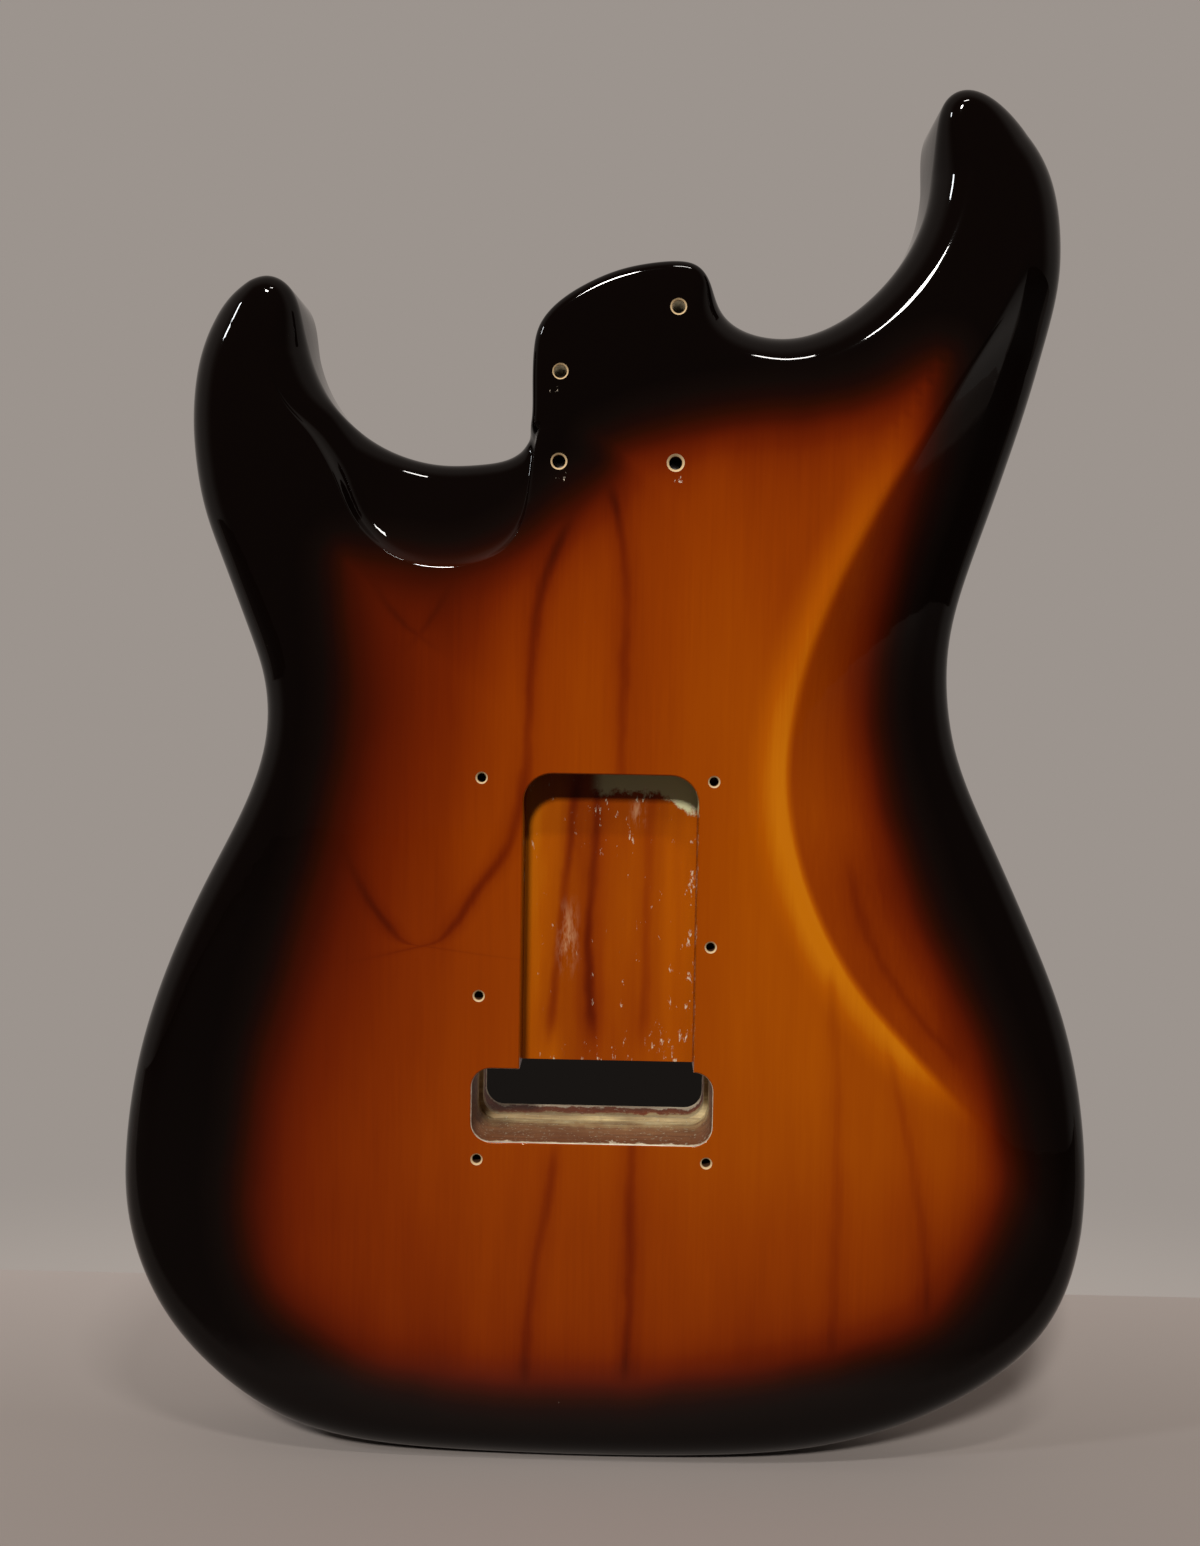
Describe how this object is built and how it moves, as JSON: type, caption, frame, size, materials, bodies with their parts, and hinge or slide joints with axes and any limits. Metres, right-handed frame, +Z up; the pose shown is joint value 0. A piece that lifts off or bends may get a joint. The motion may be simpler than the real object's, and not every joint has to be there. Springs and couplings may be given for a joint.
{
  "type": "electric guitar body",
  "caption": "Contoured double-cutaway electric guitar body with neck pocket, tremolo slot, spring cavity, pickup and control cavities, and sunburst lacquer.",
  "frame": {"origin": "on the floor of the neck pocket, on the centreline, midway between the two treble-side neck screws", "axes": "+Z up along the neck, away from the tail; +X to the bass side; +Y out of the front face, so the back face looks along -Y"},
  "size_m": [0.3246, 0.0445, 0.4548],
  "materials": {
    "dark_burst": "gloss lacquer, dark edge of a sunburst",
    "amber_burst": "gloss lacquer, amber centre of a sunburst",
    "bushing_steel": "turned and plated"
  },
  "bodies": {
    "root": {"treble_plank": "dark_burst", "centre_plank": "amber_burst", "bass_plank": "dark_burst", "treble_stud_bushing": "bushing_steel", "bass_stud_bushing": "bushing_steel"}
  },
  "joints": []
}
